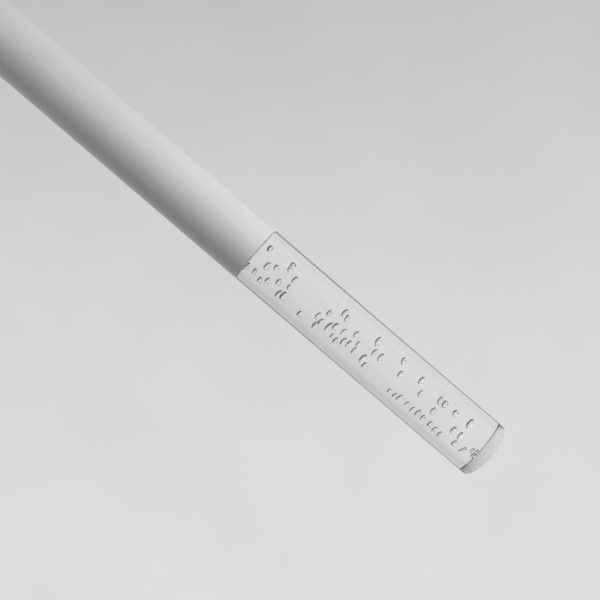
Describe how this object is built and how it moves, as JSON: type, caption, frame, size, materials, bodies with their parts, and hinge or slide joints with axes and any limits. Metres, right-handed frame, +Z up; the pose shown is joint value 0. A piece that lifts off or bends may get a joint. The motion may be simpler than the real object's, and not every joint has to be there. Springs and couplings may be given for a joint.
{
  "type": "pendant lamp",
  "caption": "Slim hanging tube lamp: a matt white metal tube with a cord gland on top and a solid clear acrylic light column full of cast bubbles below.",
  "frame": {"origin": "centre of the cord seal's upper face, where the gland grips the cord that the lamp hangs from", "axes": "+Z up along the lamp's axis, out of the cord gland; the chassis strip lies towards -Y and the driver lid faces +Y"},
  "size_m": [0.04, 0.04, 0.5],
  "materials": {
    "white_paint": "matt white powder coat, very fine texture",
    "clear_acrylic": "clear cast acrylic, polished, with cast air bubbles",
    "gland_metal": "satin white lacquer over turned metal",
    "seal_rubber": "soft matt rubber",
    "clear_silicone": "translucent silicone",
    "thrust_steel": "turned",
    "zinc_screws": "zinc plated",
    "brass_parts": "turned and stamped brass",
    "strip_steel": "bent sheet, zinc plated",
    "block_plastic": "moulded, natural white",
    "case_plastic": "moulded, fine spark texture",
    "board_green": "printed circuit board with green solder resist",
    "choke_coil": "varnished copper winding",
    "transformer_black": "ferrite core with tape",
    "can_aluminium": "drawn can",
    "sink_aluminium": "turned and milled",
    "thermal_grey": "soft thermal pad",
    "led_board_white": "metal-core board, white solder resist",
    "phosphor": "yellow phosphor gel on a ceramic base",
    "reflector_white": "white moulded reflector",
    "earth_wire": "green insulation",
    "lead_wire": "red insulation"
  },
  "bodies": {
    "lamp_body": {"cap_screws": "zinc_screws", "chassis_strip": "strip_steel", "driver_board": "board_green", "driver_capacitor": "can_aluminium", "driver_case": "case_plastic", "driver_choke": "choke_coil", "driver_lid": "case_plastic", "driver_screws": "zinc_screws", "driver_transformer": "transformer_black", "earth_lead": "earth_wire", "earth_screw": "brass_parts", "earth_tag": "brass_parts", "gland_body": "gland_metal", "gland_locknut": "gland_metal", "gland_seal": "seal_rubber", "gland_washer": "seal_rubber", "heat_sink": "sink_aluminium", "led_board": "led_board_white", "led_emitter": "phosphor", "led_leads": "lead_wire", "led_screws": "zinc_screws", "mains_leads": "lead_wire", "outer_tube": "white_paint", "reflector": "reflector_white", "terminal_block": "block_plastic", "terminal_fixing_screw": "zinc_screws", "terminal_screws": "zinc_screws", "thermal_pad": "thermal_grey", "threaded_insert": "sink_aluminium", "top_cap": "white_paint"},
    "junction_ring": {"junction_gasket": "clear_silicone"},
    "column": {"light_column": "clear_acrylic", "thread_sleeve": "sink_aluminium"},
    "thrust_ring": {"gland_thrust_ring": "thrust_steel"},
    "clamp_nut": {"gland_nut": "gland_metal"}
  },
  "joints": [
    {"name": "column_turn", "type": "hinge", "parent": "junction_ring", "child": "column", "pos_m": [0, 0, -0.3022], "axis": [0, 0, -1], "range_deg": [0, 2160]},
    {"name": "column_travel", "type": "slide", "parent": "lamp_body", "child": "junction_ring", "axis": [0, 0, -1], "range_m": [0, 0.00901]},
    {"name": "clamp_nut_turn", "type": "hinge", "parent": "thrust_ring", "child": "clamp_nut", "pos_m": [0, 0, 0.0008], "axis": [0, 0, 1], "range_deg": [0, 1080]},
    {"name": "thrust_ring_travel", "type": "slide", "parent": "lamp_body", "child": "thrust_ring", "axis": [0, 0, 1], "range_m": [0, 0.00301]}
  ],
  "couplings": [
    {"joint": "column_travel", "follows": "column_turn", "m_per_rad": 0.00023873},
    {"joint": "thrust_ring_travel", "follows": "clamp_nut_turn", "m_per_rad": 0.00015915}
  ]
}
